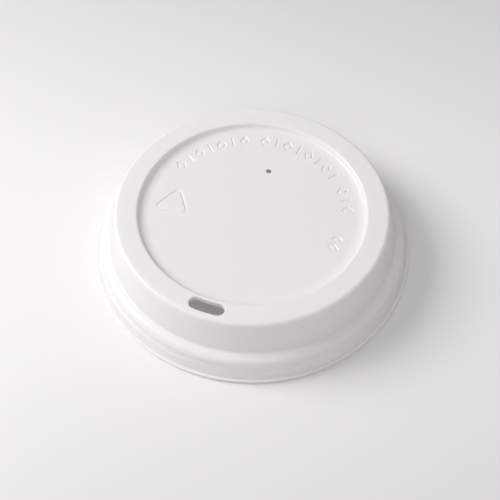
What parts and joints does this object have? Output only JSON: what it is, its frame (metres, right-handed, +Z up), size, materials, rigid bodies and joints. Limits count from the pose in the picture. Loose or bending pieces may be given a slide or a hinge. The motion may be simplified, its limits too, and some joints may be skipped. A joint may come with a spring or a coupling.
{
  "type": "coffee cup lid",
  "caption": "Round press-fit lid for a takeaway hot drink cup, with a raised crown, a sunken centre, a curved drinking slot and a small vent hole.",
  "frame": {"origin": "centre of the circle on which the lip rests, at the bottom of the lid", "axes": "+Z up through the crown, -Y towards the front, where the drinking slot lies a little to the -X side"},
  "size_m": [0.094, 0.094, 0.0188],
  "materials": {
    "white_plastic": "satin, moulded"
  },
  "bodies": {
    "root": {"lid": "white_plastic"}
  },
  "joints": []
}
